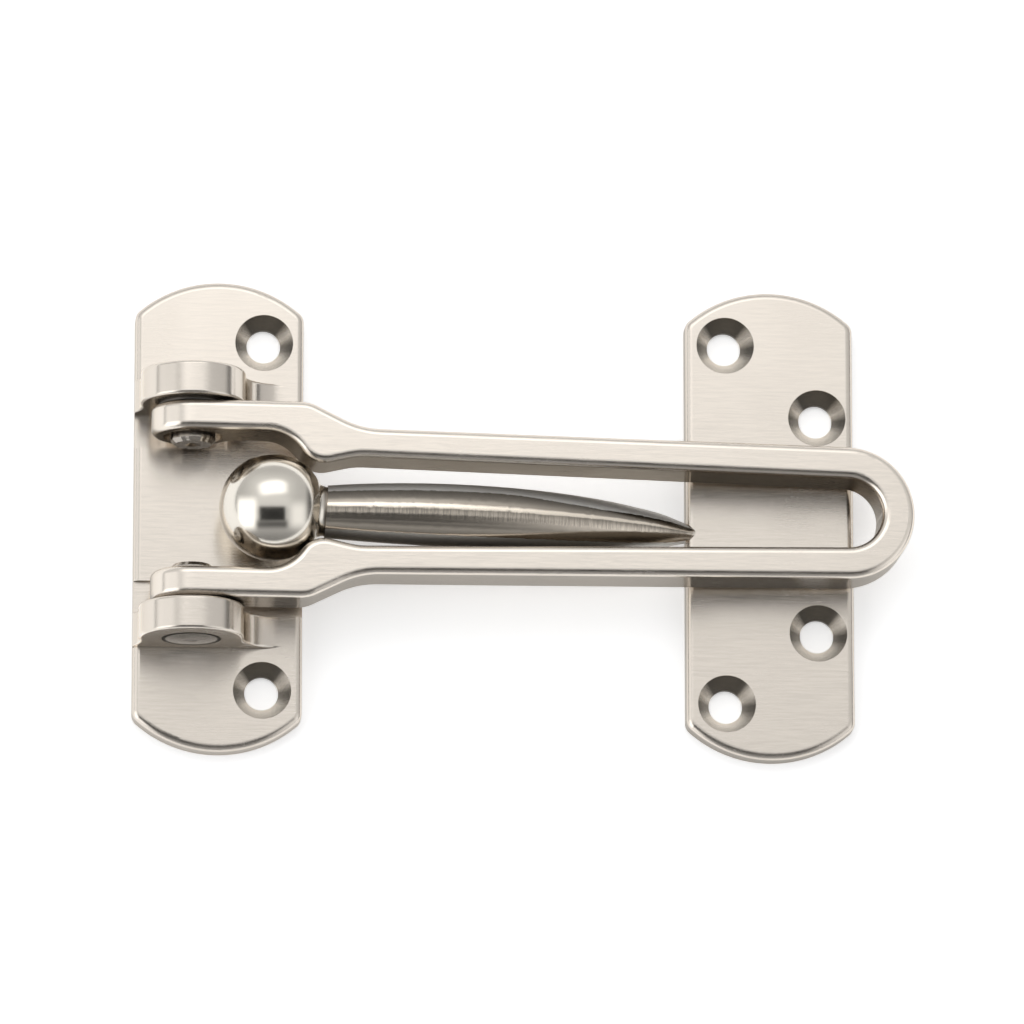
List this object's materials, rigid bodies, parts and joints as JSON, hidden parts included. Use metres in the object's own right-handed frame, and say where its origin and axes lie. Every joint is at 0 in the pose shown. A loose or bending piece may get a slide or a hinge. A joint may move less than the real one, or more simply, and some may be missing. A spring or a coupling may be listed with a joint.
{
  "type": "door guard",
  "caption": "Swing-bar door guard: a U-shaped bar hinged between lugs on one plate swings over a ball on a curved arm on the other plate to limit how far a door opens.",
  "frame": {"origin": "centre of the hinge plate's back face", "axes": "+X from the hinge plate to the ball plate, +Y along the plates, +Z away from the door"},
  "size_m": [0.1264, 0.0782, 0.0213],
  "materials": {
    "satin_nickel": "satin, brushed along the bar",
    "pin_steel": "turned and plated",
    "washer_steel": "plain",
    "polished_metal": "mirror polished"
  },
  "bodies": {
    "mounting": {"hinge_plate": "satin_nickel", "upper_pin": "pin_steel", "lower_pin": "pin_steel", "upper_washer": "washer_steel", "lower_washer": "washer_steel", "ball_plate": "satin_nickel", "catch_ball": "polished_metal"},
    "bar": {"swing_bar": "satin_nickel"}
  },
  "joints": [
    {"name": "bar_swing", "type": "hinge", "parent": "mounting", "child": "bar", "pos_m": [-0.00455, 0, 0.0104], "axis": [0, -1, 0], "range_deg": [0, 180]}
  ]
}
